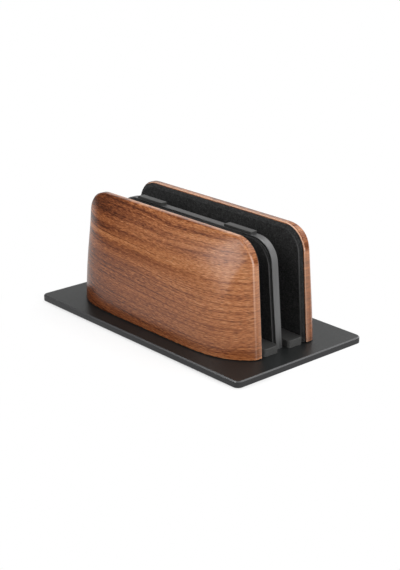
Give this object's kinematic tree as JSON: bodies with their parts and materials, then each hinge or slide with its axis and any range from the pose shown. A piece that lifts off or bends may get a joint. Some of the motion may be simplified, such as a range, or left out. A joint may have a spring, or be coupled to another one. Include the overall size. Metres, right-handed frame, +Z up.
{
  "type": "vertical laptop stand",
  "caption": "Desktop stand that holds closed laptops on edge in felt-lined slots, between bulging walnut panels and a metal divider on a flat metal plate.",
  "frame": {"origin": "centre of the footprint, on the table under the feet", "axes": "+X along the slots, -Y towards the front panel, +Z up"},
  "size_m": [0.25, 0.136, 0.0998],
  "materials": {
    "walnut": "sanded and oiled, satin",
    "black_felt": "dense wool felt",
    "dark_anodised_aluminium": "bead-blasted and dark anodised, bright cut edge",
    "grey_anodised_aluminium": "brushed and grey anodised",
    "bar_rubber": "matt silicone rubber",
    "cap_rubber": "matt silicone rubber",
    "gasket_rubber": "thin foam rubber",
    "foot_rubber": "matt rubber",
    "steel": "zinc plated",
    "brass": "turned"
  },
  "bodies": {
    "root": {"base_plate": "dark_anodised_aluminium", "divider_plate": "grey_anodised_aluminium", "divider_screws": "steel", "front_divider_lining": "black_felt", "front_floor_bar": "bar_rubber", "front_left_foot": "foot_rubber", "front_panel": "walnut", "front_panel_gasket": "gasket_rubber", "front_panel_inserts": "brass", "front_panel_lining": "black_felt", "front_panel_screws": "steel", "front_right_foot": "foot_rubber", "left_cap": "cap_rubber", "rear_divider_lining": "black_felt", "rear_floor_bar": "bar_rubber", "rear_left_foot": "foot_rubber", "rear_panel": "walnut", "rear_panel_gasket": "gasket_rubber", "rear_panel_inserts": "brass", "rear_panel_lining": "black_felt", "rear_panel_screws": "steel", "rear_right_foot": "foot_rubber", "right_cap": "cap_rubber"}
  },
  "joints": []
}
